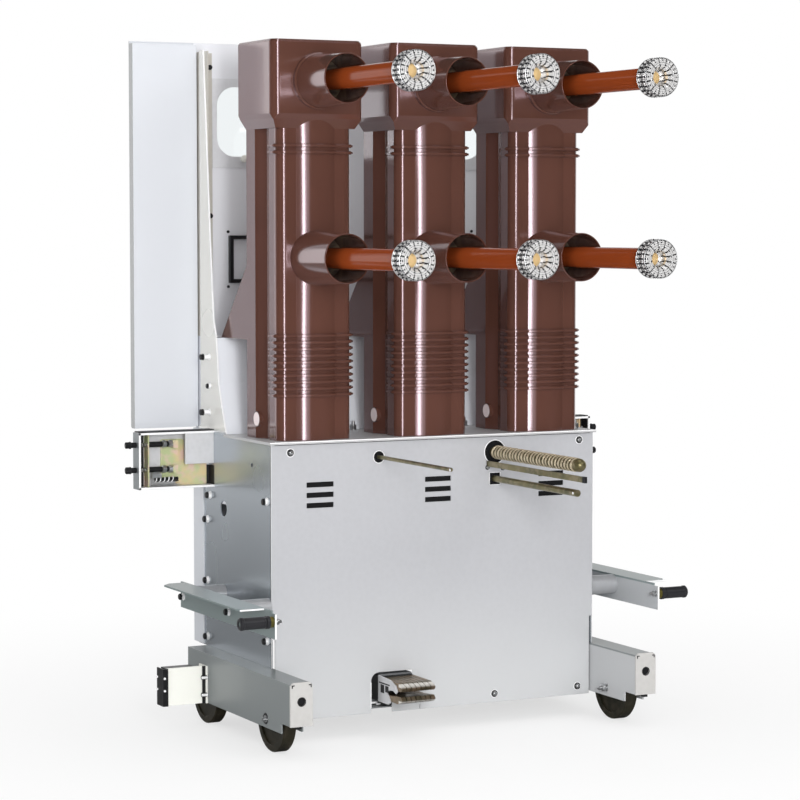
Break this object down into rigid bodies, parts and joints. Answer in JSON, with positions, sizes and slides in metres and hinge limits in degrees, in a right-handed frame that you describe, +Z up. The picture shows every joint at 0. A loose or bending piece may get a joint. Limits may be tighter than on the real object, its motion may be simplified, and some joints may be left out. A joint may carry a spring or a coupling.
{
  "type": "indoor vacuum circuit breaker truck",
  "caption": "Roll-in vacuum circuit breaker truck: ribbed cast-resin poles with sprung tulip contact arms in front of an operator's panel, on a wheeled steel cabinet.",
  "frame": {"origin": "on the floor under the middle of the whole outline", "axes": "+Z up; -Y towards the contact arms; +Y towards the operator; +X to the right as seen from the contact arms"},
  "size_m": [1.272, 0.997, 1.606],
  "materials": {
    "beam_paint": "satin grey paint on folded steel",
    "end_plate_paint": "off-white zinc plating on steel",
    "cabinet_zinc": "galvanised sheet",
    "cover_zinc": "pale zinc-coated sheet, semi-matt",
    "deck_zinc": "galvanised plate",
    "pan_zinc": "galvanised sheet",
    "housing_paint": "pale grey paint",
    "panel_paint": "off-white powder coat",
    "cast_resin": "glossy red-brown cast epoxy resin",
    "silvered_copper": "silver-plated copper",
    "plug_resin": "pale pink casting resin",
    "arm_sleeve": "glossy orange-brown insulating sleeve",
    "tulip_silver": "silver-plated copper with steel springs",
    "window_plate_zinc": "zinc-coated sheet",
    "window_glass": "clear pane",
    "black_plastic": "black moulded plastic",
    "angle_steel": "yellow-passivated zinc",
    "channel_zinc": "bright galvanised sheet",
    "passivated_plate": "yellow-passivated zinc with an iridescent sheen",
    "black_steel": "blackened steel",
    "rail_paint": "grey-green paint",
    "spacer_zinc": "zinc-plated tube",
    "rod_zinc": "olive-yellow passivated steel",
    "earth_copper": "tarnished copper",
    "stop_paint": "white paint",
    "wheel_iron": "olive-brown passivated iron",
    "roller_plastic": "black plastic"
  },
  "bodies": {
    "truck": {"chassis_beam_left": "beam_paint", "chassis_beam_right": "beam_paint", "beam_end_plates": "end_plate_paint", "side_plate_left": "cabinet_zinc", "side_plate_right": "cabinet_zinc", "arm_side_cover": "cover_zinc", "deck_plate": "deck_zinc", "floor_pan": "pan_zinc", "mechanism_box": "housing_paint", "operator_cover": "panel_paint", "pole_a": "cast_resin", "pole_b": "cast_resin", "pole_c": "cast_resin", "terminal_discs": "silvered_copper", "pole_plugs": "plug_resin", "arms_a": "arm_sleeve", "arms_b": "arm_sleeve", "arms_c": "arm_sleeve", "tulips_a": "tulip_silver", "tulips_b": "tulip_silver", "tulips_c": "tulip_silver", "front_panel": "panel_paint", "wing_left": "panel_paint", "wing_right": "panel_paint", "window_plates": "window_plate_zinc", "window_panes": "window_glass", "panel_bezels": "black_plastic", "panel_angles": "angle_steel", "side_channel_left": "channel_zinc", "side_channel_right": "channel_zinc", "interlock_plates": "passivated_plate", "locking_bolts": "black_steel", "rail_left": "rail_paint", "rail_right": "rail_paint", "rail_spacers": "spacer_zinc", "push_rods": "rod_zinc", "drive_shaft": "rod_zinc", "guide_bar": "rod_zinc", "earth_bracket": "pan_zinc", "earth_fingers": "earth_copper", "stop_bracket": "stop_paint", "stop_columns": "black_steel", "wheel_axles": "black_steel", "operator_controls": "black_plastic", "pull_handles": "black_plastic"},
    "wheel_front_left": {"wheel_front_left": "wheel_iron"},
    "wheel_front_right": {"wheel_front_right": "wheel_iron"},
    "wheel_rear_left": {"wheel_rear_left": "wheel_iron"},
    "wheel_rear_right": {"wheel_rear_right": "wheel_iron"},
    "roller_left": {"roller_left": "roller_plastic"},
    "roller_right": {"roller_right": "roller_plastic"}
  },
  "joints": [
    {"name": "wheel_front_left_turn", "type": "hinge", "parent": "truck", "child": "wheel_front_left", "pos_m": [-0.442, -0.0835, 0.076], "axis": [1, 0, 0], "continuous": true},
    {"name": "wheel_front_right_turn", "type": "hinge", "parent": "truck", "child": "wheel_front_right", "pos_m": [0.442, -0.0835, 0.076], "axis": [1, 0, 0], "continuous": true},
    {"name": "wheel_rear_left_turn", "type": "hinge", "parent": "truck", "child": "wheel_rear_left", "pos_m": [-0.442, 0.3005, 0.076], "axis": [1, 0, 0], "continuous": true},
    {"name": "wheel_rear_right_turn", "type": "hinge", "parent": "truck", "child": "wheel_rear_right", "pos_m": [0.442, 0.3005, 0.076], "axis": [1, 0, 0], "continuous": true},
    {"name": "roller_left_turn", "type": "hinge", "parent": "truck", "child": "roller_left", "pos_m": [-0.5388, -0.1805, 0.308], "axis": [1, 0, 0], "continuous": true},
    {"name": "roller_right_turn", "type": "hinge", "parent": "truck", "child": "roller_right", "pos_m": [0.5388, -0.1805, 0.308], "axis": [1, 0, 0], "continuous": true}
  ]
}
